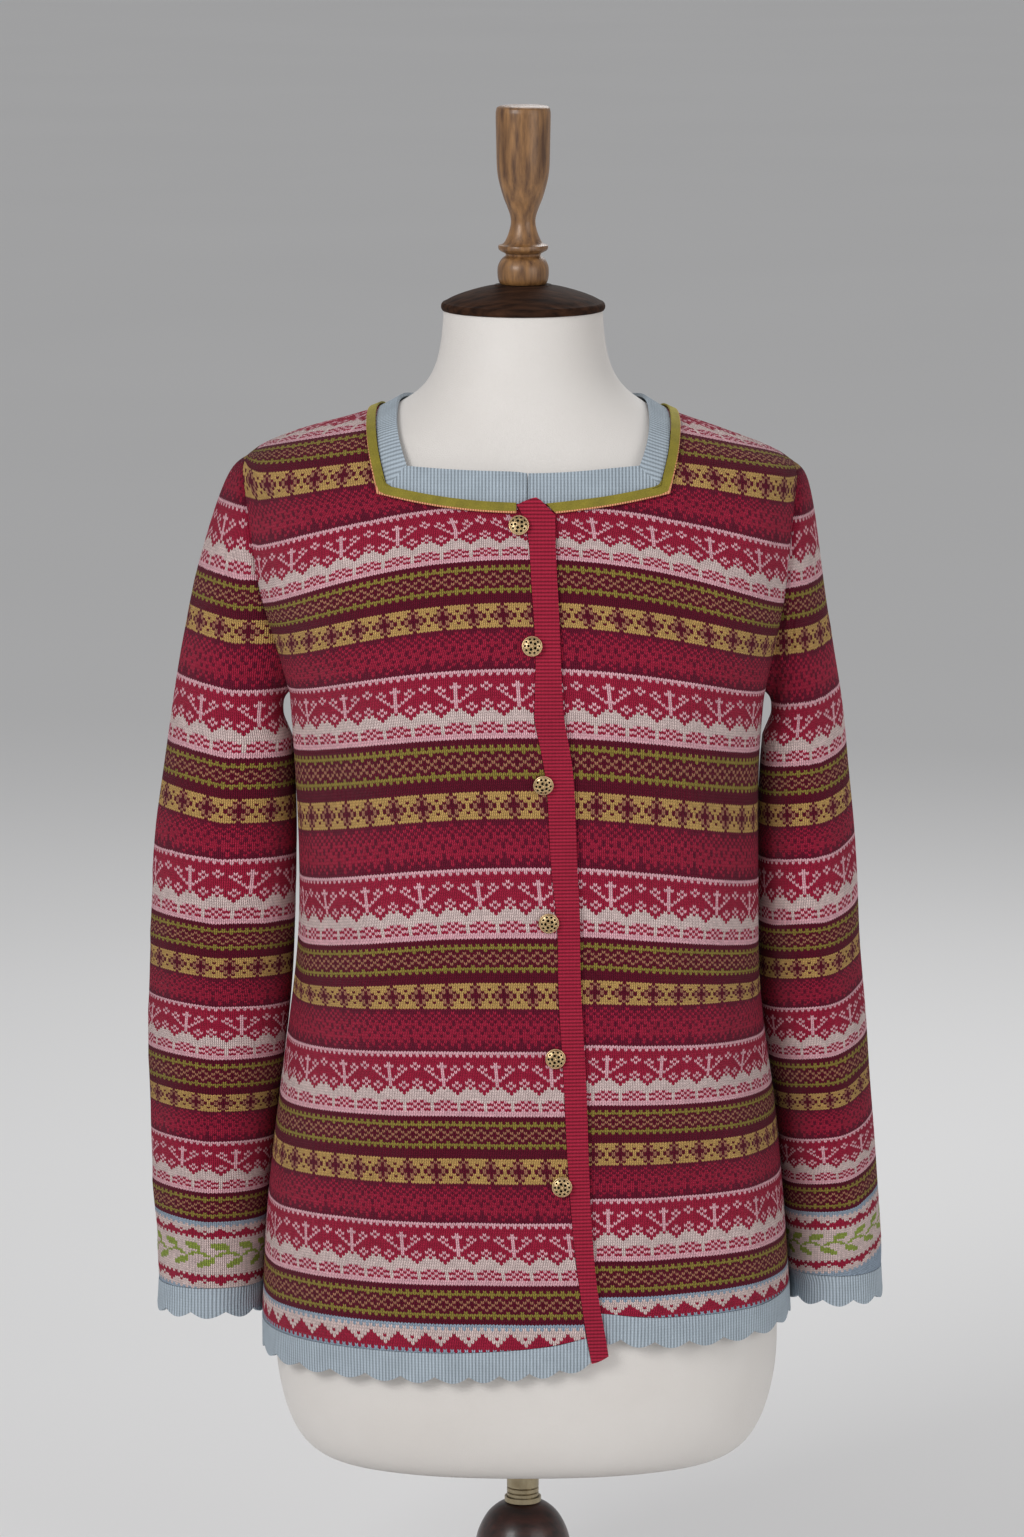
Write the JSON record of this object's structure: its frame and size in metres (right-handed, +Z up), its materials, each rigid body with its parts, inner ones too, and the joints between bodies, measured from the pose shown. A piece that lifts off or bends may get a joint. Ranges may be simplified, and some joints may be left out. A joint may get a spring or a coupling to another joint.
{
  "type": "jacquard cardigan on a dress form",
  "caption": "Long-sleeved knitted cardigan with banded jacquard, a square ribbed neck, a velvet ribbon and metal buttons, on a white dress form with a turned wooden finial and foot",
  "frame": {"origin": "centre of the foot's underside, on the floor", "axes": "+Z up the rod's axis to the finial, -Y the front with the buttons, +X the wearer's left, on the right of a front view"},
  "size_m": [0.515, 0.3, 1.104],
  "materials": {
    "knit": "jacquard wool knit",
    "border": "ribbed wool knit",
    "band": "plain wool knit",
    "ribbon": "velvet",
    "button": "aged filigree",
    "form": "matt jersey cover",
    "turned_wood": "satin varnish",
    "dark_wood": "polished",
    "tube": "brushed",
    "steel": "brushed"
  },
  "bodies": {
    "stand": {"foot": "dark_wood", "hub": "dark_wood", "ferrule": "tube", "tube": "tube", "set_screw": "steel"},
    "post": {"rod": "steel"},
    "form": {"right_front": "knit", "left_front": "knit", "back": "knit", "right_sleeve": "knit", "left_sleeve": "knit", "right_front_hem": "border", "left_front_hem": "border", "back_hem": "border", "right_cuff": "border", "left_cuff": "border", "neck_rib": "border", "neck_ribbon": "ribbon", "front_band": "band", "button_1": "button", "button_2": "button", "button_3": "button", "button_4": "button", "button_5": "button", "button_6": "button", "torso": "form", "collar": "form", "neck_cap": "turned_wood", "finial": "turned_wood"}
  },
  "joints": [
    {"name": "height", "type": "slide", "parent": "stand", "child": "post", "axis": [0, 0, 1], "range_m": [0, 0.06]},
    {"name": "turn", "type": "hinge", "parent": "post", "child": "form", "pos_m": [0, 0, 0.16], "axis": [0, 0, 1], "range_deg": [-180, 180]}
  ]
}
